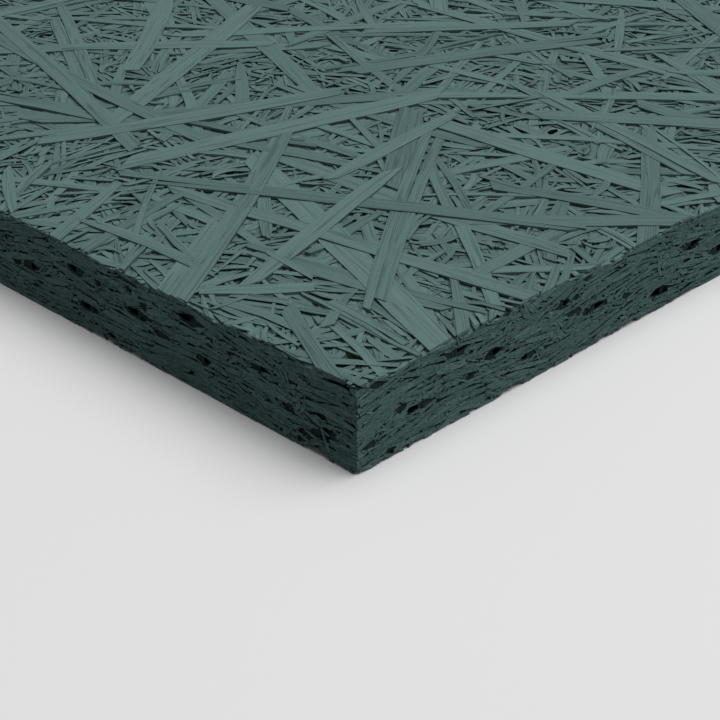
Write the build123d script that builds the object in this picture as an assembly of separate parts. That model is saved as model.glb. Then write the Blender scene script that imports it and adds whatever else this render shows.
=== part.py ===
from build123d import *

import math
import os

# Wood wool board: one square-edged slab pressed from long wood strands and cement, sawn to size on all four
# sides and painted. Millimetres, +Z up. The back face lies on Z = 0 with its middle at the origin, and the
# strand face that shows when the board is fixed looks up.

# Slab
BOARD_LENGTH = 600.0  # along X
BOARD_WIDTH = 600.0  # along Y
BOARD_THICKNESS = 15.0
ARRIS = 0.4  # chamfer that the saw and the paint leave on every edge

# Voids that the saw opens between the strand layers on the four edges
EDGE_VOID_PITCH = 10.0  # mean distance from one to the next
EDGE_VOID_LENGTH = 4.6  # mean length along the edge
EDGE_VOID_HEIGHT = 1.3  # mean height at the middle
EDGE_VOID_DEPTH = 3.0
EDGE_VOID_TILT = 14.0  # degrees out of level at most, because the strands lie nearly flat
EDGE_VOID_COVER = 2.6  # least distance of a void's middle from either face
EDGE_VOID_END = 4.6  # least distance of a void's middle from the end of its edge

# Notches where the saw has torn an outer strand out of the arris between an edge and a face
NOTCH_PITCH = 50.0  # mean distance from one to the next
NOTCH_LENGTH = 4.5  # mean length along the arris
NOTCH_HEIGHT = 1.6  # mean height of the whole outline, of which the face cuts off a part
NOTCH_DEPTH = 1.8  # from the edge inwards
NOTCH_SINK = 0.1  # how far the outline's middle lies below the face

# Voids that stay open between the strands of the two pressed faces
FACE_VOID_PITCH = 62.0  # there is one for each square of this side
FACE_VOID_LENGTH = 4.2
FACE_VOID_WIDTH = 2.0
FACE_VOID_DEPTH = 2.6
FACE_VOID_BORDER = 12.0  # border along the edges that is free of them
FACE_VOID_PLAY = 30.0  # an even spacing is broken by moving each void by up to half of this

# What all voids share
VOID_SHAPES = 11  # different voids of one kind, used in turn
VOID_CORNERS = 6
VOID_FLOOR = 0.55  # size of a void's floor as a share of its mouth
VOID_RAGGED = 0.4  # a corner lies nearer to the middle than on an ellipse by up to this share
SIZE_SPREAD = 0.45  # a void is larger or smaller than the mean by up to this share

# Irrational steps whose multiples, less their whole part, fill a line or a square evenly but never in rows
LINE_STEP = 0.6180339887
SQUARE_STEPS = (0.7548776662, 0.5698402910)
STREAM_STEP = 0.37  # what sets the line step of one stream of values apart from the next


def scatter(number, stream):
    """An irregular value from 0 to 1 for a void's number, with streams that don't follow each other."""
    return (LINE_STEP * (number + 1) * (1 + STREAM_STEP * stream)) % 1


def about(mean, number, stream):
    """The mean size, made larger or smaller by the spread that the voids show."""
    return mean * (1 + SIZE_SPREAD * (2 * scatter(number, stream) - 1))


def outline(length, height, number):
    """Corners of a void's ragged outline: on an ellipse, all but the two at its ends drawn in."""
    corners = []
    for k in range(VOID_CORNERS):
        turn = 2 * math.pi * k / VOID_CORNERS
        share = 1 - VOID_RAGGED * scatter(number, k) * abs(math.sin(turn))
        corners.append(Vector(length / 2 * math.cos(turn), height / 2 * math.sin(turn)) * share)
    return corners


def void(length, height, depth, number):
    """One void with its mouth round the origin, going in along Z and narrowing towards its floor. Its walls
    are flat, because the floor's outline is the mouth's, drawn smaller."""
    mouth = outline(length, height, number)
    floor = [corner * VOID_FLOOR + Vector(0, 0, depth) for corner in mouth]
    walls = [(mouth[k - 1], mouth[k], floor[k], floor[k - 1]) for k in range(VOID_CORNERS)]
    return Solid(Shell([Face(Wire.make_polygon(ring)) for ring in (mouth, floor, *walls)]))


def void_shapes(length, height, depth):
    """The different voids of one kind, whose mean size is given."""
    return [
        void(about(length, i, 1), about(height, i, 2), depth, i) for i in range(VOID_SHAPES)
    ]


def along_edge(span, pitch, stream):
    """Places along an edge, one anywhere in each stretch of about the pitch."""
    count = max(1, round(span / pitch))
    return [(i + scatter(i, stream)) * span / count - span / 2 for i in range(count)]


def edge_voids(middle, direction, inward, side, stream):
    """The voids of one sawn edge, and the notches in its upper and lower arris. middle is the edge's centre,
    and direction runs along it. Levels that follow each other are always far apart."""
    cuts = []
    shapes = void_shapes(EDGE_VOID_LENGTH, EDGE_VOID_HEIGHT, EDGE_VOID_DEPTH)
    level_range = BOARD_THICKNESS - 2 * EDGE_VOID_COVER
    for i, place in enumerate(along_edge(side - 2 * EDGE_VOID_END, EDGE_VOID_PITCH, stream)):
        level = level_range * ((LINE_STEP * i + STREAM_STEP * stream) % 1 - 0.5)
        mouth = Plane(middle + direction * place + Vector(0, 0, level), direction, inward)
        tilt = EDGE_VOID_TILT * (2 * scatter(i, stream + 8) - 1)
        cuts.append(mouth.rotated((0, 0, tilt)) * shapes[(i + stream) % VOID_SHAPES])
    shapes = void_shapes(NOTCH_LENGTH, NOTCH_HEIGHT, NOTCH_DEPTH)
    for up in (1, -1):
        level = up * (BOARD_THICKNESS / 2 - NOTCH_SINK)
        for i, place in enumerate(along_edge(side - 2 * NOTCH_LENGTH, NOTCH_PITCH, stream + up)):
            mouth = Plane(middle + direction * place + Vector(0, 0, level), direction, inward)
            cuts.append(mouth * shapes[(i + stream) % VOID_SHAPES])
    return cuts


def face_voids(level, inward, stream):
    """The voids of one pressed face: inside the border, moved off their even places and turned every way."""
    length_span = BOARD_LENGTH - 2 * FACE_VOID_BORDER - FACE_VOID_PLAY
    width_span = BOARD_WIDTH - 2 * FACE_VOID_BORDER - FACE_VOID_PLAY
    count = max(1, round(length_span * width_span / FACE_VOID_PITCH**2))
    shapes = void_shapes(FACE_VOID_LENGTH, FACE_VOID_WIDTH, FACE_VOID_DEPTH)
    step_x, step_y = SQUARE_STEPS
    cuts = []
    for i in range(count):
        even_x = length_span * ((i + 0.5 + stream) * step_x % 1 - 0.5)
        even_y = width_span * ((i + 0.5 + stream) * step_y % 1 - 0.5)
        x = even_x + FACE_VOID_PLAY * (scatter(i, stream + 12) - 0.5)
        y = even_y + FACE_VOID_PLAY * (scatter(i, stream + 16) - 0.5)
        mouth = Plane(origin=(x, y, level), z_dir=inward)
        cuts.append(mouth.rotated((0, 0, 180 * scatter(i, stream))) * shapes[(i + stream) % VOID_SHAPES])
    return cuts


def wood_wool_board():
    """The slab with its arrises, less every void and notch."""
    slab = Box(
        BOARD_LENGTH, BOARD_WIDTH, BOARD_THICKNESS, align=(Align.CENTER, Align.CENTER, Align.MIN)
    )
    slab = chamfer(slab.edges(), ARRIS)
    mid_level = Vector(0, 0, BOARD_THICKNESS / 2)
    to_end, to_side = Vector(BOARD_LENGTH / 2, 0, 0), Vector(0, BOARD_WIDTH / 2, 0)
    along_x, along_y = Vector(1, 0, 0), Vector(0, 1, 0)
    cuts = [
        *edge_voids(mid_level - to_side, along_x, along_y, BOARD_LENGTH, 1),
        *edge_voids(mid_level + to_side, along_x, -along_y, BOARD_LENGTH, 2),
        *edge_voids(mid_level - to_end, along_y, along_x, BOARD_WIDTH, 3),
        *edge_voids(mid_level + to_end, along_y, -along_x, BOARD_WIDTH, 4),
        *face_voids(BOARD_THICKNESS, (0, 0, -1), 5),
        *face_voids(0.0, (0, 0, 1), 6),
    ]
    return slab - cuts


os.makedirs("parts", exist_ok=True)
export_step(wood_wool_board(), "parts/wood_wool_board.step", write_pcurves=False)
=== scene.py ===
"""Looks of a painted wood wool board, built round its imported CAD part.

The two pressed faces are strands laid one under another, the four sawn edges are the cut layers of those
strands, and an inner mat, which has the CAD part's own voids, closes the view through the gaps.
Everything lies inside the CAD box.
"""

import math
from typing import NamedTuple

import bpy
import numpy as np
from bpy.props import FloatProperty, FloatVectorProperty, IntProperty, PointerProperty
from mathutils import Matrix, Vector


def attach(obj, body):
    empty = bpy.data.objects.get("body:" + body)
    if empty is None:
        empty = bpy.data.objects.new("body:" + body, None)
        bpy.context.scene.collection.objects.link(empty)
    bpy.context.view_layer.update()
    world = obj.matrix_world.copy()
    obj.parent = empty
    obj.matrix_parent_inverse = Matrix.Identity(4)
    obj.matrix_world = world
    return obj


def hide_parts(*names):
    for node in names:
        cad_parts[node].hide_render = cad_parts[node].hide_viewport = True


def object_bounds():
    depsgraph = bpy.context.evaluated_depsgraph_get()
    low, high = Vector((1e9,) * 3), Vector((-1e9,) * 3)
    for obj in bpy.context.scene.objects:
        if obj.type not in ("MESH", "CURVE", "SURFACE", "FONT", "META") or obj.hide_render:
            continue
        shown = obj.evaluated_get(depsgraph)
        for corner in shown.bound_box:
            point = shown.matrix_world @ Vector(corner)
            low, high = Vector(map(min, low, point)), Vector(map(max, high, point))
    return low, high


bl_info = {
    "name": "Wood wool board",
    "version": (1, 0, 0),
    "blender": (4, 5, 0),
    "location": "3D View > Sidebar > Wood wool",
    "description": "Strands, sawn edges, paint and stage of a wood wool board",
    "category": "Object",
}

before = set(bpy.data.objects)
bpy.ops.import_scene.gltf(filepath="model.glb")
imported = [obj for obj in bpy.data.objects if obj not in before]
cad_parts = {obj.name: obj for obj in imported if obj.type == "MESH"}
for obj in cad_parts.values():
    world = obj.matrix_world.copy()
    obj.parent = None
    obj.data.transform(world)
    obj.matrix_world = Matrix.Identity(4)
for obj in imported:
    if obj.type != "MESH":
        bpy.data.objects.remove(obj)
CAD_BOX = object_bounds()
BOARD = "wood_wool_board"
MM = 0.001

# A strand's section: corners as shares of its width across and of its body inwards
FLAT_SECTION = np.array([(-0.5, 0.0), (0.5, 0.0), (0.46, 1.0), (-0.46, 1.0)])
SLIVER_SECTION = np.array([(-0.5, 0.0), (0.5, 0.0), (0.0, 1.0)])

STATIONS = 33  # even places along a strand at which its depth is kept
LINE_PLACES = 65  # even places along a strand's line at which its way out of the board is looked for
RIPPLE_LENGTH = 25 * MM  # from one wide place of a strand to the next
TOUCH = 0.05 * MM  # what is nearer than this to a side of the board lies on it
CHAMFER = 0.45 * MM  # what is nearer than this to two sides together lies on the chamfer between them
JUST_BELOW = 0.9 * MM  # depth of the parts of a notch that are next to a side
NOTCH_REACH = 2.2 * MM  # a notch lies within this distance of an edge
MERGED = 0.001 * MM  # vertices of the CAD part that are nearer than this to each other are one
VOID_DEPTH = 3.2 * MM  # no void of the CAD part goes deeper than this
TONES_APART = 40.0  # how far the tone moves a pattern, so that no two strands show the same part of it

# The grids on which the sides are pressed
FACE_CELL = 0.25 * MM
EDGE_CELL = 0.12 * MM
EDGE_RELIEF = 0.14 * MM  # depth within which the layers of an edge lie
EDGE_COVER = 0.35 * MM  # how far the upper face's strands reach down over the edges
EDGE_END_FRAY = 3.0

# The inner mat: the CAD part's surface with its outer skin drawn in along x, y and z. Nothing is moved from a
# depth that is just under the floors of the voids, so that they stay where they are.
MAT_INSET = np.array([0.35, 0.35, 0.75]) * MM
MAT_STILL = 3 * MM
NOTCH_LOW = 1.3 * MM  # a notch's walls lie within this distance of a face
# How pale the mat is painted, from the pale gap colour at 1 to the near-black painted shade at 0: pale behind
# the faces and in the notches, painted shade in the voids, and dark painted shade behind the edges
FACE_TONE = 1.0
VOID_PAINTED_SHADE_TONE = 0.0
EDGE_PAINTED_SHADE_TONE = 0.22

# The camera, found from the board's outline, in thicknesses of the board from its near lower corner
CAMERA_PLACE = Vector((-9.63240888, -9.54557072, 8.86238948))
LAMP_TOWARD = Vector((0.3, -0.26, 0.92))
LAMP_DISTANCE = 2.0
LAMP_SIZE = 2.4
FLOOR_REACH = 6.0
FLOOR_BELOW = 0.05 * MM  # keeps the floor out of the strands that lie on it
FLOOR_BACK_LIGHT = 0.22


class Side(NamedTuple):
    """One side of the board as a flat drawing: u runs along it, v up it, and depth goes inwards."""

    middle: np.ndarray
    u_axis: np.ndarray
    v_axis: np.ndarray
    half_u: float
    half_v: float
    end_fray: float = 1.0  # how many times further back strands end at the ends of u than at those of v

    def points(self, u, v, depth):
        """Places on the drawing in the frame: the middle, plus u and v along their axes, less the depth along
        the axis that stands out of the side."""
        outwards = np.cross(self.u_axis, self.v_axis)
        on_side = self.middle + u[..., None] * self.u_axis + v[..., None] * self.v_axis
        return on_side - depth[..., None] * outwards

    def flat(self, points):
        """The u, v and depth of places in the frame."""
        offset = points - self.middle
        return offset @ self.u_axis, offset @ self.v_axis, -offset @ np.cross(self.u_axis, self.v_axis)

    def room(self, u, v):
        """Distance from the outline, positive inside: the smaller of half_u - |u|, which counts for less
        where strands end further back, and half_v - |v|."""
        return np.minimum((self.half_u - np.abs(u)) / self.end_fray, self.half_v - np.abs(v))


def board_sides():
    """The six sides by name, from the CAD box. u_axis x v_axis stands out of each of them."""
    low, high = (np.array(corner) for corner in CAD_BOX)
    middle, half = (low + high) / 2, (high - low) / 2
    x, y, z = np.eye(3)
    reach = half[:, None] * np.eye(3)
    return {
        "upper_face": Side(middle + reach[2], x, y, half[0], half[1]),
        "back_face": Side(middle - reach[2], x, -y, half[0], half[1]),
        "front_edge": Side(middle - reach[1], x, z, half[0], half[2]),
        "right_edge": Side(middle + reach[0], y, z, half[1], half[2]),
        "rear_edge": Side(middle + reach[1], -x, z, half[0], half[2]),
        "left_edge": Side(middle - reach[0], -y, z, half[1], half[2]),
    }


class Kind(NamedTuple):
    """What the strands of one kind have in common. Ranges are (low, high), and lengths are in metres."""

    length: tuple
    width: tuple
    members: tuple = (1.0,)  # chances that one, two, three... strands lie in a bundle, side by side
    split: float = 0.0  # 1 where the bundle is one strand that has split, 0 where it is whole strands
    gap: tuple = (0.0, 0.0)  # between the members
    fan: float = 0.0  # how far a member's angle is off the bundle's
    stagger: float = 0.0  # how far a member is off along, as a share of its length
    step: tuple = (0.16 * MM, 0.22 * MM)
    body: tuple = (0.5 * MM, 0.6 * MM)
    bow: float = 0.02  # share of the length
    tilt: float = 0.03
    tip: tuple = (0.4, 1.0)
    skew: float = 1.2  # share of the width
    stiffness: float = 1.5 * MM
    least_shown: float = 0.2  # share of a strand that has to show, or it is left out
    bridge: float = 0.0  # area of a void that one strand may cover
    sinks: bool = False  # whether it also lies on the floor of a notch
    ripple: float = 0.0  # how much wider or narrower a strand is in places, as a share of its width
    section: np.ndarray = SLIVER_SECTION
    segments: int = 1


class Strands(NamedTuple):
    """Strands on one side, one array value each. Lengths are in metres and angles in radians."""

    u: np.ndarray
    v: np.ndarray
    angle: np.ndarray
    length: np.ndarray
    width: np.ndarray
    step: np.ndarray  # how much deeper the next strand lies where it crosses below, after pressing
    body: np.ndarray  # thickness, with the cement that fills in below it
    bow: np.ndarray  # how far the middle stands to the left of the ends
    tilt: np.ndarray  # fall to the left, as a share of the width
    tip: np.ndarray  # width at the ends as a share of the width
    skew: np.ndarray  # how much further the left side runs than the right, at both ends
    tone: np.ndarray  # 0 to 1, what sets one strand's colour and grain apart from the next

    def each(self, change):
        """The strands with the change made to each of their arrays."""
        return Strands(*(change(values) for values in self))

    def place(self, along, across):
        """u and v of places on the strands. A strand is a parabola: at a distance along from its middle it
        stands bow * (1 - (2 * along / length) ** 2) to the left of its chord."""
        left = across + self.bow * (1 - (2 * along / self.length) ** 2)
        ahead, aside = np.cos(self.angle), np.sin(self.angle)
        return self.u + along * ahead - left * aside, self.v + along * aside + left * ahead


def spread(random, count, low, high):
    """Values anywhere from low to high."""
    return low + (high - low) * random.random(count)


def up_to(most, share):
    """The range from a share of the most to the most."""
    return share * most, most


def shave(random, kind, u, v, angle):
    """Bundles of strands of one kind with their middles at u and v.

    Each member takes its place across after the one before it, at half of both widths plus a gap. A split
    strand's width is shared out among its members."""
    count, most = len(u), len(kind.members)
    shape = (count, most)
    number = random.choice(most, (count, 1), p=kind.members) + 1
    there = np.arange(most) < number
    widths = spread(random, shape, *kind.width) / number**kind.split * there
    pitch = widths + spread(random, shape, *kind.gap) * there
    across = pitch.cumsum(1) - pitch / 2 - pitch.sum(1, keepdims=True) / 2
    lengths = spread(random, (count, 1), *kind.length) * spread(random, shape, 0.75, 1.0)
    along = lengths * spread(random, shape, -kind.stagger, kind.stagger)
    turn = angle[:, None]
    drawn = Strands(
        u=u[:, None] + along * np.cos(turn) - across * np.sin(turn),
        v=v[:, None] + along * np.sin(turn) + across * np.cos(turn),
        angle=turn + spread(random, shape, -kind.fan, kind.fan),
        length=lengths,
        width=widths,
        step=spread(random, shape, *kind.step),
        body=spread(random, shape, *kind.body),
        bow=lengths * spread(random, (count, 1), -kind.bow, kind.bow),
        tilt=spread(random, shape, -kind.tilt, kind.tilt),
        tip=spread(random, shape, *kind.tip),
        skew=widths * spread(random, shape, -kind.skew, kind.skew),
        tone=(random.random((count, 1)) + spread(random, shape, -0.1, 0.1)).clip(0, 1),
    )
    return drawn.each(lambda values: values[there])


class Press:
    """The inside of one side as a grid of cells, filled with strands from the press plate inwards."""

    def __init__(self, side, cell, deepest):
        self.side = side
        self.cell = cell
        self.deepest = deepest
        # A border of one cell stands for everything outside the board
        shape = [int(round(2 * half / cell)) + 2 for half in (side.half_v, side.half_u)]
        self.under = np.zeros(shape, np.float32)
        self.open = np.ones(shape, bool)
        self.void = np.zeros(shape, bool)
        self.notch = np.zeros(shape, bool)
        self.close_border()

    def close_border(self):
        """Puts the border back to what it stands for."""
        for border in (np.s_[0, :], np.s_[-1, :], np.s_[:, 0], np.s_[:, -1]):
            self.under[border] = 0
            self.open[border] = False
            self.void[border] = False
            self.notch[border] = False

    def cells(self, u, v):
        """Row and column of the cells at u and v, with the border for what lies outside."""
        rows, columns = self.open.shape
        row = ((v + self.side.half_v) / self.cell + 1).astype(np.int32)
        column = ((u + self.side.half_u) / self.cell + 1).astype(np.int32)
        return row.clip(0, rows - 1), column.clip(0, columns - 1)

    def open_void(self, u, v):
        """Keeps the cells at u and v free of strands."""
        self.void[self.cells(u, v)] = True
        self.close_border()

    def open_notch(self, u, v):
        """Keeps the cells at u and v for the strands that sink into a notch, and lie as deep there as any."""
        spot = self.cells(u, v)
        self.notch[spot] = True
        self.under[spot] = self.deepest
        self.close_border()

    def open_places(self, random, count, room):
        """u and v of random places that no strand covers yet, with open cells all round as far as room."""
        free = self.open & ~self.void
        for _ in range(int(room / self.cell)):
            free[1:-1, 1:-1] &= free[:-2, 1:-1] & free[2:, 1:-1] & free[1:-1, :-2] & free[1:-1, 2:]
        rows, columns = np.nonzero(free)
        pick = random.integers(0, len(rows), count) if len(rows) else np.empty(0, int)
        shift = random.random((2, len(pick))) - 1
        return (
            (columns[pick] + shift[0]) * self.cell - self.side.half_u,
            (rows[pick] + shift[1]) * self.cell - self.side.half_v,
        )

    def lay(self, strands, kind):
        """Lays the strands one after another, each under those before it, and returns those that show with
        the depth of their upper side along them.

        Under a strand that is there already, a new one lies as deep as that one's lower side. Between such
        crossings it springs back towards the plate as far as its stiffness lets it: the depth is the running
        maximum of what it has to clear, then a running mean of that, both over the stiffness length."""
        shown, depths = [], []
        reach = max(1, int(kind.stiffness / self.cell / 2))
        windows = np.lib.stride_tricks.sliding_window_view
        stations = np.linspace(0, 1, STATIONS)
        for i, values in enumerate(np.stack(strands, -1)):
            one = Strands(*values)
            share = np.linspace(-0.5, 0.5, max(4, int(one.length / self.cell) + 1))
            across = np.linspace(-0.5, 0.5, max(2, int(one.width / self.cell) + 1)) * one.width
            spot = self.cells(*one.place(share[:, None] * one.length, across))
            hole = self.void[spot] if kind.sinks else self.void[spot] | self.notch[spot]
            covered = np.count_nonzero(hole) * self.cell**2
            if covered > kind.bridge or np.mean(self.open[spot]) < kind.least_shown:
                continue
            level = self.under[spot]
            roof = windows(np.pad(level.max(1), 2 * reach, "edge"), 2 * reach + 1).max(1)
            depth = windows(roof, 2 * reach + 1).mean(1) + abs(one.tilt) * one.width / 2
            depth = np.minimum(depth, self.deepest)
            self.under[spot] = np.maximum(level, depth[:, None] + one.step)
            self.open[spot] = False
            self.close_border()
            shown.append(i)
            depths.append(np.interp(stations, share + 0.5, depth))
        picked = np.array(shown, int)
        return strands.each(lambda values: values[picked]), np.array(depths).reshape(-1, STATIONS)


class Round(NamedTuple):
    """One filling of a press: bundles of a kind for one piece, laid where there is room for them."""

    piece: str
    kind: Kind
    bundles: int
    room: float
    turn: float = math.pi / 2  # how far a bundle lies off the side's own direction at most


def fill(press, rounds, random, direction):
    """Lays all rounds in a press, and returns what shows of each piece as kind, strands and depths. direction
    gives the way that the layers run at u and v."""
    pieces = {}
    for each in rounds:
        u, v = press.open_places(random, each.bundles, each.room)
        angle = direction(u, v) + spread(random, len(u), -each.turn, each.turn)
        laid = press.lay(shave(random, each.kind, u, v, angle), each.kind)
        pieces.setdefault(each.piece, (each.kind, []))[1].append(laid)
    return {
        piece: (
            kind,
            Strands(*(np.concatenate(values) for values in zip(*(strands for strands, _ in parts)))),
            np.concatenate([depths for _, depths in parts]),
        )
        for piece, (kind, parts) in pieces.items()
    }


def cad_triangles():
    """The CAD part's surface: places of its vertices, with those that coincide merged, and the vertex numbers
    of its triangles."""
    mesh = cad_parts[BOARD].data
    mesh.calc_loop_triangles()
    places = np.empty(len(mesh.vertices) * 3, np.float32)
    corners = np.empty(len(mesh.loop_triangles) * 3, np.int32)
    mesh.vertices.foreach_get("co", places)
    mesh.loop_triangles.foreach_get("vertices", corners)
    places = places.reshape(-1, 3)
    rounded = np.round(places / MERGED)
    _, first, number = np.unique(rounded, axis=0, return_index=True, return_inverse=True)
    corners = number.ravel()[corners].reshape(-1, 3)
    flat = (corners == np.roll(corners, 1, 1)).any(1)
    return places[first].astype(float), corners[~flat]


def void_walls(places, corners):
    """Which triangles of the CAD part belong to a void or notch: those whose middle is not on any side of the
    board or on the chamfer between two of them."""
    low, high = (np.array(corner) for corner in CAD_BOX)
    middle = places[corners].mean(1)
    from_sides = np.sort(np.minimum(middle - low, high - middle), 1)
    return (from_sides[:, 0] > TOUCH) & (from_sides[:, :2].sum(1) > CHAMFER)


def open_cad_voids(press):
    """Keeps the cells of the voids and notches that the CAD part has on this side open. A notch is next to
    the side's outline.

    Their triangles either reach this side, or are a floor that faces it, or lie just below it. The cells are
    found under points that are spread evenly over each of those triangles."""
    places, corners = cad_triangles()
    u, v, depth = press.side.flat(places[corners[void_walls(places, corners)]])
    deep = depth.max(1)
    faces_side = np.ptp(depth, 1) < TOUCH
    opens = (depth.min(1) < TOUCH) | faces_side | (deep < JUST_BELOW)
    wall = opens & (deep < VOID_DEPTH)
    a, b = (grid.ravel() for grid in np.meshgrid(np.linspace(0, 1, 15), np.linspace(0, 1, 15)))
    weights = np.stack([1 - a, a * (1 - b), a * b])
    u, v = u[wall] @ weights, v[wall] @ weights
    notch = press.side.room(u, v).mean(1) < NOTCH_REACH
    press.open_void(u[~notch], v[~notch])
    press.open_notch(u[notch], v[notch])


def open_small_voids(press, random, count, length, height):
    """Keeps lens-shaped gaps between the layers of a sawn edge free of strands: at a share of its length from
    the middle, a lens is height * (1 - (2 * share) ** 2) high."""
    u, v = press.open_places(random, count, 0.0)
    gap = Kind(length=up_to(length, 0.3), width=up_to(height, 0.4), bow=0.12)
    turn = spread(random, count, -0.3, 0.3)
    lenses = shave(random, gap, u, v, turn).each(lambda values: values[:, None, None])
    share = np.linspace(-0.5, 0.5, 41)[:, None]
    across = np.linspace(-0.5, 0.5, 11) * lenses.width * (1 - (2 * share) ** 2)
    press.open_void(*lenses.place(share * lenses.length, across))


def lines_inside(side, strands, across, inset):
    """Where each long line of the strands enters and leaves the side's outline, less the inset.

    The room inside the outline is taken at even places along each line, and the crossing is where it would be
    nought between two of them. Also says which strands have all their lines inside somewhere."""
    share = np.linspace(-0.5, 0.5, LINE_PLACES)
    deepened = strands.each(lambda values: values[:, None, None])
    along = share * deepened.length + np.sign(across)[..., None] * deepened.skew / 2
    room = side.room(*deepened.place(along, across[..., None])) - inset[:, None, None]
    within = room > 0
    ends = []
    for turn in (1, -1):
        first = within[..., ::turn].argmax(-1)[..., None]
        before = np.maximum(first - 1, 0)
        here, there = (np.take_along_axis(along[..., ::turn], k, -1) for k in (first, before))
        room_here, room_there = (np.take_along_axis(room[..., ::turn], k, -1) for k in (first, before))
        crosses = (first > before) & (room_there < room_here)
        fall = np.where(crosses, room_here / np.where(crosses, room_here - room_there, 1), 0)
        ends.append((here + (there - here) * fall)[..., 0])
    return ends[0], ends[1], within.any(-1).all(-1)


def strand_surface(side, kind, strands, depths, inset):
    """The strands as closed tubes: the kind's section carried along each strand's path.

    Along the path the width is width * (tip + (1 - tip) * (1 - |2 * share - 1| ** 3)), and the depth is what
    the press gave, plus the tilt times the place across. Returns the strands that lie inside the side, their
    vertices as strand, station and corner, and along, across and tone for each vertex."""
    start, finish, whole = lines_inside(side, strands, kind.section[:, 0] * strands.width[:, None], inset)
    kept, depths = strands.each(lambda values: values[whole]), depths[whole]
    start, finish = start[whole][:, None, :], finish[whole][:, None, :]
    deepened = kept.each(lambda values: values[:, None, None])
    along = start + (finish - start) * np.linspace(0, 1, kind.segments + 1)[:, None]
    share = np.clip(along / deepened.length + 0.5, 0, 1)
    narrowing = deepened.tip + (1 - deepened.tip) * (1 - np.abs(2 * share - 1) ** 3)
    ripple = np.sin(2 * math.pi * along / RIPPLE_LENGTH + TONES_APART * deepened.tone + kind.section[:, 0])
    across = kind.section[:, 0] * deepened.width * narrowing * (1 + kind.ripple * ripple)
    u, v = deepened.place(along, across)
    station = share * (STATIONS - 1)
    before = np.minimum(station.astype(int), STATIONS - 2)
    row = np.arange(len(depths))[:, None, None]
    depth = depths[row, before] + (depths[row, before + 1] - depths[row, before]) * (station - before)
    depth = depth + deepened.tilt * across + kind.section[:, 1] * deepened.body
    vertices = side.points(
        u.clip(-side.half_u, side.half_u), v.clip(-side.half_v, side.half_v), np.maximum(depth, 0)
    )
    grain = np.stack([along, across, np.broadcast_to(deepened.tone, along.shape)], -1)
    return kept, vertices, grain


def tube_faces(count, segments, corners):
    """Vertex numbers of the tubes' sides, four each, and of their two end caps."""
    tube = np.arange(count)[:, None, None] * (segments + 1) * corners
    here = tube + np.arange(segments)[:, None] * corners
    corner = np.arange(corners)
    following = (corner + 1) % corners
    ahead = here + corners
    sides = np.stack([here + corner, ahead + corner, ahead + following, here + following], -1)
    first = tube[:, 0] + corner
    last = tube[:, 0] + segments * corners + corner[::-1]
    return sides.reshape(-1, 4), np.concatenate([first, last])


def bake_map(strands, kind):
    """A map on which no two strands overlap: each is unrolled to a strip with its caps at the strip's ends,
    and the strips lie end to end in rows, widest first. Returns places for the sides, then for the caps."""
    ring = kind.section * np.stack([strands.width, strands.body], -1)[:, None, :]
    wall = np.linalg.norm(np.roll(ring, -1, 1) - ring, axis=-1)
    around = np.concatenate([np.zeros((len(wall), 1)), wall.cumsum(1)], 1)
    margin = 0.2 * MM
    high = around[:, -1] + margin
    wide = strands.length + 2 * strands.body + 4 * margin
    order = np.argsort(-high)
    begin = np.empty(len(order))
    begin[order] = np.cumsum(wide[order]) - wide[order]
    row_length = math.sqrt((wide * high).sum())
    row = (begin / row_length).astype(int)
    row_high = np.zeros(row.max() + 1)
    np.maximum.at(row_high, row, high)
    left = begin - row * row_length
    foot = (np.cumsum(row_high) - row_high)[row][:, None]
    share = np.linspace(0, 1, kind.segments + 1)
    along = (left + strands.body + 2 * margin)[:, None] + strands.length[:, None] * share
    up = foot + around
    x = np.stack([along[:, :-1], along[:, 1:], along[:, 1:], along[:, :-1]], -1)[:, :, None, :]
    y = np.stack([up[:, :-1], up[:, :-1], up[:, 1:], up[:, 1:]], -1)[:, None, :, :]
    sides = np.stack(np.broadcast_arrays(x, y), -1)
    cap_x = left[:, None] + margin + ring[..., 1]
    cap_y = foot + ring[..., 0] + strands.width[:, None] / 2
    first = np.stack([cap_x, cap_y], -1)
    last = first[:, ::-1] + np.stack([wide - strands.body - 2 * margin, np.zeros(len(wide))], -1)[:, None]
    places = np.concatenate([part.reshape(-1, 2) for part in (sides, first, last)])
    return places / max((left + wide).max(), row_high.sum())


def new_piece(name, vertices, faces, material, grain, places=None):
    """A mesh object at the origin from whole arrays. faces is a list of arrays, one for each number of
    corners, and grain is given for each vertex or for each corner of each face. The piece rides on the
    board's only body and stands for the CAD node."""
    mesh = bpy.data.meshes.new(name)
    corners = np.concatenate([group.ravel() for group in faces]).astype(np.int32)
    sizes = np.concatenate([np.full(len(group), group.shape[1]) for group in faces])
    mesh.vertices.add(len(vertices))
    mesh.vertices.foreach_set("co", vertices.astype(np.float32).ravel())
    mesh.loops.add(len(corners))
    mesh.loops.foreach_set("vertex_index", corners)
    mesh.polygons.add(len(sizes))
    mesh.polygons.foreach_set("loop_start", (np.cumsum(sizes) - sizes).astype(np.int32))
    layer = mesh.attributes.new("strand", "FLOAT_VECTOR", "POINT" if grain.ndim == 2 else "CORNER")
    layer.data.foreach_set("vector", grain.astype(np.float32).ravel())
    if places is not None:
        layer = mesh.uv_layers.new(name="OFBake", do_init=False)
        layer.data.foreach_set("uv", places.astype(np.float32).ravel())
    mesh.update(calc_edges=True)
    if mesh.validate():
        raise RuntimeError(f"{name} has faces that can't be used")
    mesh.shade_flat()
    mesh.materials.append(material)
    piece = bpy.data.objects.new(name, mesh)
    bpy.context.scene.collection.objects.link(piece)
    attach(piece, "root")
    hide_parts(BOARD)


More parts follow.
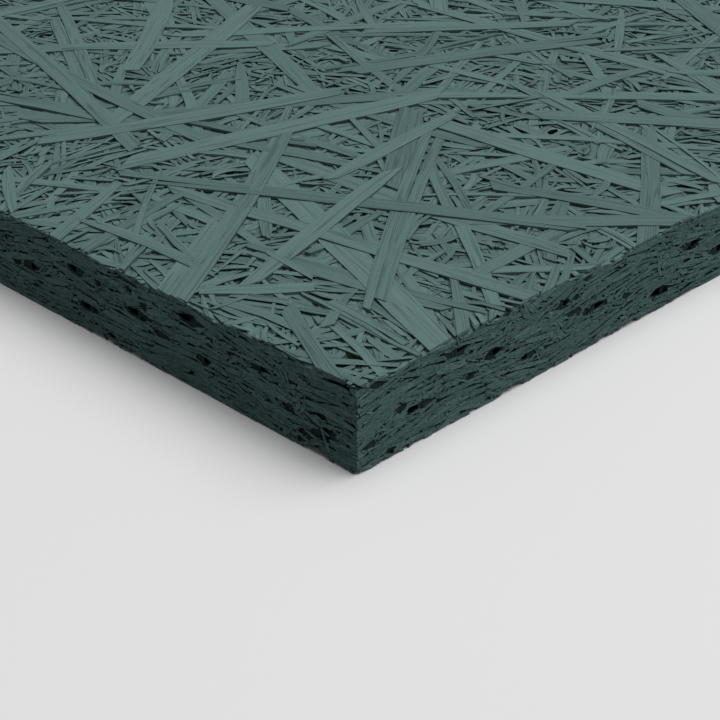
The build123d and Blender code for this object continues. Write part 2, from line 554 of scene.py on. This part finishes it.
def strand_pieces(side_name, side, pieces, random, frayed, material):
    """One mesh for each piece of a side, with the strands' ends up to frayed back from the outline."""
    for piece, (kind, strands, depths) in pieces.items():
        inset = frayed * random.random(len(strands.u)) ** 2
        kept, vertices, grain = strand_surface(side, kind, strands, depths, inset)
        faces = tube_faces(len(kept.u), kind.segments, len(kind.section))
        new_piece(
            f"{side_name}_{piece}",
            vertices.reshape(-1, 3),
            faces,
            material,
            grain.reshape(-1, 3),
            bake_map(kept, kind),
        )


def linear(hexadecimal):
    """An sRGB hex colour as linear red, green and blue, and full alpha."""
    shares = [int(hexadecimal[k : k + 2], 16) / 255 for k in (1, 3, 5)]
    return (*((c / 12.92 if c <= 0.04045 else ((c + 0.055) / 1.055) ** 2.4) for c in shares), 1.0)


def add_node(tree, kind, inputs, **settings):
    """Adds a node with its settings, and sets or links each of its inputs."""
    node = tree.nodes.new(kind)
    for name, value in settings.items():
        setattr(node, name, value)
    for name, value in inputs.items():
        if isinstance(value, bpy.types.NodeSocket):
            tree.links.new(value, node.inputs[name])
        else:
            node.inputs[name].default_value = value
    return node


def empty_material(name):
    """A new material with nothing in its node tree, and the tree."""
    material = bpy.data.materials.new(name)
    material.use_nodes = True
    material.node_tree.nodes.clear()
    return material, material.node_tree


def painted_wood_material(name, pale, deep, grain_width, grain_length, pore, painted_pit_shade, relief, gloss=0.25):
    """Matt dispersion paint sprayed thinly on softwood: no gloss, the wood's grain, short cracks and pores
    still show through it, and one strand is a little paler than the next. The low places of the pores are
    also darkened in colour, as painted shade, by the given share. Its pattern follows each strand."""
    material, tree = empty_material(name)
    strand = add_node(tree, "ShaderNodeAttribute", {}, attribute_name="strand")
    parts = add_node(tree, "ShaderNodeSeparateXYZ", {"Vector": strand.outputs["Vector"]})
    along = add_node(tree, "ShaderNodeMath", {0: parts.outputs["X"], 1: grain_length}, operation="DIVIDE")
    across = add_node(tree, "ShaderNodeMath", {0: parts.outputs["Y"], 1: grain_width}, operation="DIVIDE")
    apart = add_node(tree, "ShaderNodeMath", {0: parts.outputs["Z"], 1: TONES_APART}, operation="MULTIPLY")
    place = add_node(
        tree,
        "ShaderNodeCombineXYZ",
        {"X": along.outputs[0], "Y": across.outputs[0], "Z": apart.outputs[0]},
    )
    grain = add_node(
        tree,
        "ShaderNodeTexNoise",
        {"Vector": place.outputs[0], "Scale": 1.0, "Detail": 3.0, "Roughness": 0.6},
    )
    # A crack follows a contour of a broader noise, so it is long and thin and closes at its ends
    swell = add_node(
        tree,
        "ShaderNodeTexNoise",
        {"Vector": place.outputs[0], "Scale": 0.37, "Detail": 1.0, "Roughness": 0.5},
    )
    off_contour = add_node(tree, "ShaderNodeMath", {0: swell.outputs["Fac"], 1: 0.42}, operation="SUBTRACT")
    from_contour = add_node(tree, "ShaderNodeMath", {0: off_contour.outputs[0]}, operation="ABSOLUTE")
    sound = add_node(
        tree,
        "ShaderNodeMapRange",
        {"Value": from_contour.outputs[0], "From Min": 0.005, "From Max": 0.03},
        interpolation_type="SMOOTHSTEP",
    )
    where = add_node(tree, "ShaderNodeTexCoord", {})
    pores = add_node(
        tree,
        "ShaderNodeTexNoise",
        {"Vector": where.outputs["Object"], "Scale": 1 / pore, "Detail": 2.0, "Roughness": 0.6},
    )
    tone = add_node(
        tree,
        "ShaderNodeMix",
        {"Factor": parts.outputs["Z"], "A": deep, "B": pale},
        data_type="RGBA",
    )
    grain_shade = add_node(
        tree,
        "ShaderNodeMapRange",
        {"Value": grain.outputs["Fac"], "From Min": 0.3, "From Max": 0.62, "To Min": 0.84, "To Max": 1.05},
    )
    crack_shade = add_node(tree, "ShaderNodeMapRange", {"Value": sound.outputs[0], "To Min": 0.68})
    # Painted shade: the low places of the pores are darkened in colour as well as in the bump
    painted_pit_darkening = add_node(
        tree,
        "ShaderNodeMapRange",
        {"Value": pores.outputs["Fac"], "From Min": 0.32, "From Max": 0.5, "To Min": 1 - painted_pit_shade},
    )
    wood_shade = add_node(
        tree, "ShaderNodeMath", {0: grain_shade.outputs[0], 1: crack_shade.outputs[0]}, operation="MULTIPLY"
    )
    shade = add_node(
        tree, "ShaderNodeMath", {0: wood_shade.outputs[0], 1: painted_pit_darkening.outputs[0]}, operation="MULTIPLY"
    )
    colour = add_node(
        tree,
        "ShaderNodeMix",
        {"Factor": 1.0, "A": tone.outputs["Result"], "B": shade.outputs[0]},
        data_type="RGBA",
        blend_type="MULTIPLY",
    )
    furrows = add_node(
        tree, "ShaderNodeMath", {0: grain.outputs["Fac"], 1: sound.outputs[0]}, operation="ADD"
    )
    height = add_node(
        tree, "ShaderNodeMath", {0: furrows.outputs[0], 1: pores.outputs["Fac"]}, operation="ADD"
    )
    bump = add_node(
        tree, "ShaderNodeBump", {"Height": height.outputs[0], "Strength": 0.7, "Distance": relief}
    )
    surface = add_node(
        tree,
        "ShaderNodeBsdfPrincipled",
        {
            "Base Color": colour.outputs["Result"],
            "Roughness": 0.9,
            "IOR": 1.48,
            "Specular IOR Level": gloss,
            "Normal": bump.outputs[0],
        },
    )
    add_node(tree, "ShaderNodeOutputMaterial", {"Surface": surface.outputs[0]})
    return material


def paper_material(colour, back_light):
    """Pale seamless paper: an even, dull white that keeps the board's shadow. What it sends back on to the
    board is held down, as on a table in a larger, darker room."""
    material, tree = empty_material("Pale seamless paper")
    seen = add_node(tree, "ShaderNodeLightPath", {})
    tint = add_node(
        tree,
        "ShaderNodeMix",
        {"Factor": seen.outputs["Is Camera Ray"], "A": (*[back_light] * 3, 1.0), "B": colour},
        data_type="RGBA",
    )
    surface = add_node(tree, "ShaderNodeBsdfDiffuse", {"Color": tint.outputs["Result"]})
    add_node(tree, "ShaderNodeOutputMaterial", {"Surface": surface.outputs[0]})
    return material


class WoodWoolFaces(bpy.types.PropertyGroup):
    """Sizes of the strands on the two pressed faces."""

    broad_length: FloatProperty(
        name="Broad strand length", description="Of the longest", default=110 * MM, unit="LENGTH", precision=4
    )
    broad_width: FloatProperty(
        name="Broad strand width", description="Of the widest", default=5.6 * MM, unit="LENGTH", precision=4
    )
    middling_width: FloatProperty(
        name="Middling strand width",
        description="Of the widest",
        default=3.2 * MM,
        unit="LENGTH",
        precision=4,
    )
    fine_width: FloatProperty(
        name="Fine strand width", description="Of the widest", default=1.5 * MM, unit="LENGTH", precision=4
    )
    relief: FloatProperty(
        name="Relief",
        description="Depth below a face within which the strands that show lie",
        default=0.7 * MM,
        unit="LENGTH",
        precision=4,
    )
    frayed: FloatProperty(
        name="Frayed",
        description="How far back from the sawn edges the strands' ends lie at most",
        default=0.5 * MM,
        unit="LENGTH",
        precision=4,
    )
    seed: IntProperty(name="Seed", description="Which of many like boards it is", default=7, min=0)


class WoodWoolEdges(bpy.types.PropertyGroup):
    """Sizes of the strand layers on the four sawn edges."""

    layer_length: FloatProperty(
        name="Layer length", description="Of the longest", default=15 * MM, unit="LENGTH", precision=4
    )
    layer_height: FloatProperty(
        name="Layer height", description="Of the highest", default=1.5 * MM, unit="LENGTH", precision=4
    )
    small_voids: IntProperty(
        name="Small voids", description="On each edge, besides those of the CAD part", default=95, min=0
    )
    frayed: FloatProperty(
        name="Frayed",
        description="How far back from the faces the layers lie at most",
        default=0.28 * MM,
        unit="LENGTH",
        precision=4,
    )
    seed: IntProperty(name="Seed", description="Which of many like edges they are", default=17, min=0)


class WoodWoolPaint(bpy.types.PropertyGroup):
    """Colours of the paint, with painted shade: the edges' greener tint, and the near-black in the gaps."""

    pale: FloatVectorProperty(
        name="Pale", description="On the palest strands", default=linear("#5E7977"), size=4, subtype="COLOR"
    )
    deep: FloatVectorProperty(
        name="Deep", description="On the deepest strands", default=linear("#516A68"), size=4, subtype="COLOR"
    )
    # The edges' paint is greener and a little darker than the faces': a painted tint for the bounce light in
    # their shade
    edge_pale_shade_tinted: FloatVectorProperty(
        name="Edge, pale",
        description="On the palest layers",
        default=linear("#5E7E7C"),
        size=4,
        subtype="COLOR",
    )
    edge_deep_shade_tinted: FloatVectorProperty(
        name="Edge, deep",
        description="On the deepest layers",
        default=linear("#506D6B"),
        size=4,
        subtype="COLOR",
    )
    hidden_pale: FloatVectorProperty(
        name="Hidden, pale", description="In the gaps", default=linear("#667F7D"), size=4, subtype="COLOR"
    )
    # Near-black: painted shade for the voids and the gaps behind the edges, where there is only shade
    gap_painted_shade: FloatVectorProperty(
        name="Gaps, painted shade", description="In the gaps", default=linear("#0B1211"), size=4, subtype="COLOR"
    )


class WoodWoolStage(bpy.types.PropertyGroup):
    """The floor, light and camera."""

    floor: FloatVectorProperty(
        name="Floor", description="Its colour", default=linear("#E3E3E3"), size=4, subtype="COLOR"
    )
    lamp_power: FloatProperty(
        name="Lamp power", description="Of the softbox overhead", default=49.5, unit="POWER"
    )
    fill_light: FloatProperty(
        name="Fill light", description="Strength of the light from all round", default=0.2, min=0.0
    )
    yaw: FloatProperty(
        name="Camera yaw", description="From +Y towards +X", default=math.radians(45.3804), subtype="ANGLE"
    )
    pitch: FloatProperty(
        name="Camera pitch", description="Below level", default=math.radians(29.1778), subtype="ANGLE"
    )
    field: FloatProperty(
        name="Field of view", description="Across the image", default=math.radians(24.2845), subtype="ANGLE"
    )


class WOODWOOL_OT_inner_mat(bpy.types.Operator):
    """Add the mat inside the board, which closes the view through the gaps and has the CAD part's voids"""

    bl_idname = "woodwool.inner_mat"
    bl_label = "Inner mat"

    def execute(self, context):
        paint = context.scene.wood_wool_paint
        low, high = (np.array(corner) for corner in CAD_BOX)
        middle, half = (low + high) / 2, (high - low) / 2
        places, corners = cad_triangles()
        offset = places - middle
        share = ((np.abs(offset) - half) / MAT_STILL + 1).clip(0, 1)
        vertices = places - np.sign(offset) * MAT_INSET * share
        from_sides = half - np.abs(offset[corners]).mean(1)
        in_notch = (from_sides[:, :2].min(1) < NOTCH_REACH) & (from_sides[:, 2] < NOTCH_LOW)
        on_face = from_sides[:, 2] < TOUCH
        in_void = void_walls(places, corners)
        # Painted shade: the voids' walls take the near-black colour and the mat behind the edges is darkened,
        # standing in for the shade in the gaps
        tone = np.select([in_notch | on_face, in_void], [FACE_TONE, VOID_PAINTED_SHADE_TONE], EDGE_PAINTED_SHADE_TONE)
        material = painted_wood_material(
            "Paint and painted shade in the gaps between strands",
            paint.hidden_pale,
            paint.gap_painted_shade,
            grain_width=1.2 * MM,
            grain_length=1.2 * MM,
            # Dark patches about 4 mm across: painted shade, so that the gaps over them look like deep holes
            pore=4 * MM,
            painted_pit_shade=0.9,
            relief=0.4 * MM,
            gloss=0.0,
        )
        grain = vertices[corners]
        grain[..., 2] = tone[:, None]
        new_piece("inner_mat", vertices, [corners], material, grain)
        return {"FINISHED"}


def face_kinds(sizes):
    """The kinds of strand on a pressed face, for the sizes that the user set."""
    broad = Kind(
        length=up_to(sizes.broad_length, 0.4),
        width=up_to(sizes.broad_width, 0.6),
        members=(0.75, 0.2, 0.05),
        split=0.9,
        gap=(-0.15 * MM, 0.03 * MM),
        fan=0.008,
        stagger=0.12,
        step=(0.09 * MM, 0.13 * MM),
        bow=0.016,
        tilt=0.015,
        tip=(0.5, 1.0),
        stiffness=5 * MM,
        least_shown=0.3,
        bridge=0.5 * MM**2,
        ripple=0.06,
        section=FLAT_SECTION,
        segments=6,
    )
    middling = Kind(
        length=up_to(sizes.broad_length / 2, 0.33),
        width=up_to(sizes.middling_width, 0.45),
        members=(0.7, 0.3),
        split=0.8,
        gap=(-0.1 * MM, 0.05 * MM),
        fan=0.02,
        stagger=0.15,
        step=(0.08 * MM, 0.12 * MM),
        bow=0.03,
        stiffness=3 * MM,
        least_shown=0.25,
        bridge=0.1 * MM**2,
        ripple=0.08,
        section=FLAT_SECTION,
        segments=4,
    )
    loose = Kind(
        length=(10 * MM, 28 * MM),
        width=up_to(sizes.fine_width, 0.6),
        step=(0.08 * MM, 0.1 * MM),
        bow=0.04,
        tilt=0.05,
        stiffness=3 * MM,
        least_shown=0.9,
        segments=4,
    )
    curl = Kind(
        length=(5 * MM, 10 * MM),
        width=up_to(sizes.fine_width, 0.5),
        members=(0.8, 0.2),
        gap=(0.05 * MM, 0.2 * MM),
        fan=0.3,
        stagger=0.2,
        step=(0.06 * MM, 0.1 * MM),
        bow=0.24,
        tilt=0.12,
        least_shown=0.55,
        segments=4,
    )
    chip = Kind(
        length=(8 * MM, 24 * MM),
        width=up_to(sizes.middling_width * 0.75, 0.38),
        members=(0.6, 0.3, 0.1),
        split=0.5,
        gap=(-0.05 * MM, 0.12 * MM),
        fan=0.08,
        stagger=0.3,
        step=(0.06 * MM, 0.1 * MM),
        bow=0.06,
        tilt=0.08,
        tip=(0.3, 1.0),
        least_shown=0.25,
        sinks=True,
        segments=2,
    )
    fine = Kind(
        length=(4 * MM, 14 * MM),
        width=up_to(sizes.fine_width, 0.4),
        members=(0.5, 0.3, 0.2),
        gap=(0.02 * MM, 0.12 * MM),
        fan=0.12,
        stagger=0.3,
        step=(0.05 * MM, 0.08 * MM),
        bow=0.12,
        tilt=0.1,
        tip=(0.3, 1.0),
        sinks=True,
        segments=2,
    )
    return loose, broad, middling, curl, chip, fine


def press_face(context, side_name, seed, rounds):
    """Makes the pieces of one pressed face, on which strands lie every way."""
    sizes, paint = context.scene.wood_wool_faces, context.scene.wood_wool_paint
    name = "Matt paint on shaved spruce"
    material = bpy.data.materials.get(name) or painted_wood_material(
        name,
        paint.pale,
        paint.deep,
        grain_width=0.35 * MM,
        grain_length=14 * MM,
        pore=0.5 * MM,
        painted_pit_shade=0.1,
        relief=0.06 * MM,
    )
    random = np.random.default_rng(seed)
    side = board_sides()[side_name]
    press = Press(side, FACE_CELL, sizes.relief)
    open_cad_voids(press)
    pieces = fill(press, rounds, random, lambda u, v: 0)
    strand_pieces(side_name, side, pieces, random, sizes.frayed, material)


class WOODWOOL_OT_upper_face(bpy.types.Operator):
    """Add the strands of the face that shows when the board is fixed"""

    bl_idname = "woodwool.upper_face"
    bl_label = "Upper face"

    def execute(self, context):
        sizes = context.scene.wood_wool_faces
        loose, broad, middling, curl, chip, fine = face_kinds(sizes)
        # A few loose strands lie on top, then come the broad ones, then what fills the gaps
        rounds = [
            Round("loose_strands", loose, 120, 0.0),
            Round("broad_strands", broad, 700, 0.0),
            Round("middling_strands", middling, 2200, 0.0),
            Round("curls", curl, 600, 1.25 * MM),
            *[Round("chips", chip, 2000, 0.75 * MM)] * 2,
            Round("chips", chip, 2000, 0.5 * MM),
            *[Round("fine_strands", fine, 1800, 0.5 * MM)] * 6,
            *[Round("finest_strands", fine._replace(bow=0.0, segments=1), 2500, 0.25 * MM)] * 6,
        ]
        press_face(context, "upper_face", sizes.seed, rounds)
        return {"FINISHED"}


class WOODWOOL_OT_back_face(bpy.types.Operator):
    """Add the strands of the face that lies against the wall or ceiling"""

    bl_idname = "woodwool.back_face"
    bl_label = "Back face"

    def execute(self, context):
        sizes = context.scene.wood_wool_faces
        _, broad, middling, _, chip, fine = face_kinds(sizes)
        rounds = [
            Round("broad_strands", broad._replace(segments=4), 700, 0.0),
            Round("middling_strands", middling._replace(segments=3), 1500, 0.0),
            *[Round("chips", chip._replace(segments=1, bow=0.0), 2000, 0.75 * MM)] * 3,
            *[Round("fine_strands", fine._replace(bow=0.0, segments=1), 1800, 0.5 * MM)] * 5,
        ]
        press_face(context, "back_face", sizes.seed + 1, rounds)
        return {"FINISHED"}


def layer_waves(random):
    """The way that the layers of an edge run, as a function of u and v. They rise and fall in three long
    waves, and not all at one place over the height: the angle is the sum over the waves of
    high * sin(2 * pi * u / wide + v / lean + lag)."""
    high = spread(random, (3, 1), 0.05, 0.11)
    wide = spread(random, (3, 1), 30 * MM, 70 * MM)
    lag = spread(random, (3, 1), 0, 2 * math.pi)
    lean = 9 * MM
    return lambda u, v: (high * np.sin(2 * math.pi * u / wide + v / lean + lag)).sum(0)


class WOODWOOL_OT_sawn_edges(bpy.types.Operator):
    """Add the four sawn edges, on which the strands show as thin layers"""

    bl_idname = "woodwool.sawn_edges"
    bl_label = "Sawn edges"

    def execute(self, context):
        sizes, paint = context.scene.wood_wool_edges, context.scene.wood_wool_paint
        # Same paint as the faces, tinted greener and darker as painted shade for the shaded edges
        material = painted_wood_material(
            "Matt paint on sawn spruce, tinted for shade",
            paint.edge_pale_shade_tinted,
            paint.edge_deep_shade_tinted,
            grain_width=0.3 * MM,
            grain_length=1.0 * MM,
            pore=0.6 * MM,
            painted_pit_shade=0.3,
            relief=0.2 * MM,
        )
        layer = Kind(
            length=up_to(sizes.layer_length, 0.22),
            width=up_to(sizes.layer_height, 0.28),
            members=(0.6, 0.4),
            gap=(-0.05 * MM, 0.02 * MM),
            fan=0.03,
            stagger=0.3,
            step=(0.008 * MM, 0.02 * MM),
            body=(0.4 * MM, 0.6 * MM),
            bow=0.03,
            tilt=0.07,
            tip=(0.2, 0.8),
            segments=2,
        )
        short = layer._replace(
            length=up_to(sizes.layer_length / 3, 0.3), members=(1.0,), tilt=0.12, bow=0.0, segments=1
        )
        crumb = short._replace(
            length=up_to(sizes.layer_length / 5, 0.3),
            width=up_to(sizes.layer_height / 3, 0.5),
            least_shown=0.12,
        )
        splayed = layer._replace(
            length=up_to(sizes.layer_length / 3, 0.35),
            width=up_to(sizes.layer_height * 0.65, 0.4),
            members=(0.4, 0.3, 0.2, 0.1),
            gap=(0.0, 0.15 * MM),
            fan=0.35,
            bow=0.1,
            least_shown=0.3,
            bridge=0.6 * MM**2,
        )
        rounds = [
            Round("splayed_strands", splayed, 70, 0.24 * MM, 1.2),
            *[Round("layers", layer, 450, 0.24 * MM, 0.15)] * 3,
            *[Round("short_layers", short, 900, 0.24 * MM, 0.4)] * 4,
            *[Round("short_layers", short, 900, 0.12 * MM, 0.7)] * 5,
            *[Round("crumbs", crumb, 1800, 0.0, 1.2)] * 9,
        ]
        sides = board_sides()
        for number, name in enumerate(("front_edge", "right_edge", "rear_edge", "left_edge")):
            random = np.random.default_rng(sizes.seed + number)
            # The upper face's strands lie on top of the layers
            full = sides[name]
            side = full._replace(
                middle=full.middle - full.v_axis * EDGE_COVER / 2,
                half_v=full.half_v - EDGE_COVER / 2,
                end_fray=EDGE_END_FRAY,
            )
            press = Press(side, EDGE_CELL, EDGE_RELIEF)
            open_cad_voids(press)
            open_small_voids(press, random, sizes.small_voids, 2.6 * MM, 0.75 * MM)
            pieces = fill(press, rounds, random, layer_waves(random))
            strand_pieces(name, side, pieces, random, sizes.frayed, material)
        return {"FINISHED"}


class WOODWOOL_OT_stage(bpy.types.Operator):
    """Add the floor, the light and the camera"""

    bl_idname = "woodwool.stage"
    bl_label = "Stage"

    def execute(self, context):
        stage = context.scene.wood_wool_stage
        low, high = CAD_BOX
        thickness = high.z - low.z
        near_corner = Vector((low.x, low.y, low.z))

        mesh = bpy.data.meshes.new("floor")
        ends = [(-1, -1), (1, -1), (1, 1), (-1, 1)]
        corners = [(x * FLOOR_REACH, y * FLOOR_REACH, low.z - FLOOR_BELOW) for x, y in ends]
        mesh.from_pydata(corners, [], [(0, 1, 2, 3)])
        mesh.materials.append(paper_material(stage.floor, FLOOR_BACK_LIGHT))
        floor = bpy.data.objects.new("floor", mesh)
        context.scene.collection.objects.link(floor)

        camera = bpy.data.objects.new("camera", bpy.data.cameras.new("camera"))
        context.scene.collection.objects.link(camera)
        camera.data.angle = stage.field
        camera.data.clip_start = 10 * MM
        camera.location = near_corner + thickness * CAMERA_PLACE
        level = math.cos(stage.pitch)
        look = Vector((math.sin(stage.yaw) * level, math.cos(stage.yaw) * level, -math.sin(stage.pitch)))
        camera.rotation_euler = look.to_track_quat("-Z", "Y").to_euler()
        context.scene.camera = camera

        lamp = bpy.data.lights.new("softbox", "AREA")
        lamp.shape = "SQUARE"
        lamp.size = LAMP_SIZE
        lamp.energy = stage.lamp_power
        softbox = bpy.data.objects.new("softbox", lamp)
        context.scene.collection.objects.link(softbox)
        toward = LAMP_TOWARD.normalized()
        softbox.location = near_corner + toward * LAMP_DISTANCE
        softbox.rotation_euler = toward.to_track_quat("Z", "Y").to_euler()

        world = bpy.data.worlds.new("studio")
        context.scene.world = world
        world.use_nodes = True
        background = world.node_tree.nodes["Background"]
        background.inputs["Color"].default_value = (1.0, 1.0, 1.0, 1.0)
        background.inputs["Strength"].default_value = stage.fill_light
        context.scene.view_settings.view_transform = "Standard"
        return {"FINISHED"}


class WOODWOOL_PT_sidebar(bpy.types.Panel):
    """Sizes, colours and pieces of the board"""

    bl_idname = "WOODWOOL_PT_sidebar"
    bl_label = "Wood wool board"
    bl_space_type = "VIEW_3D"
    bl_region_type = "UI"
    bl_category = "Wood wool"

    def draw(self, context):
        for name in GROUPS:
            group = getattr(context.scene, name)
            box = self.layout.box()
            for size in group.__annotations__:
                box.prop(group, size)
        for operator in OPERATORS:
            self.layout.operator(operator.bl_idname)


GROUPS = {
    "wood_wool_faces": WoodWoolFaces,
    "wood_wool_edges": WoodWoolEdges,
    "wood_wool_paint": WoodWoolPaint,
    "wood_wool_stage": WoodWoolStage,
}
OPERATORS = (
    WOODWOOL_OT_inner_mat,
    WOODWOOL_OT_upper_face,
    WOODWOOL_OT_back_face,
    WOODWOOL_OT_sawn_edges,
    WOODWOOL_OT_stage,
)
CLASSES = (*GROUPS.values(), *OPERATORS, WOODWOOL_PT_sidebar)


def register():
    for cls in CLASSES:
        bpy.utils.register_class(cls)
    for name, group in GROUPS.items():
        setattr(bpy.types.Scene, name, PointerProperty(type=group))


def unregister():
    for name in GROUPS:
        delattr(bpy.types.Scene, name)
    for cls in reversed(CLASSES):
        bpy.utils.unregister_class(cls)


def main():
    register()
    bpy.ops.woodwool.inner_mat()
    bpy.ops.woodwool.upper_face()
    bpy.ops.woodwool.back_face()
    bpy.ops.woodwool.sawn_edges()
    bpy.ops.woodwool.stage()


if __name__ == "__main__":
    main()
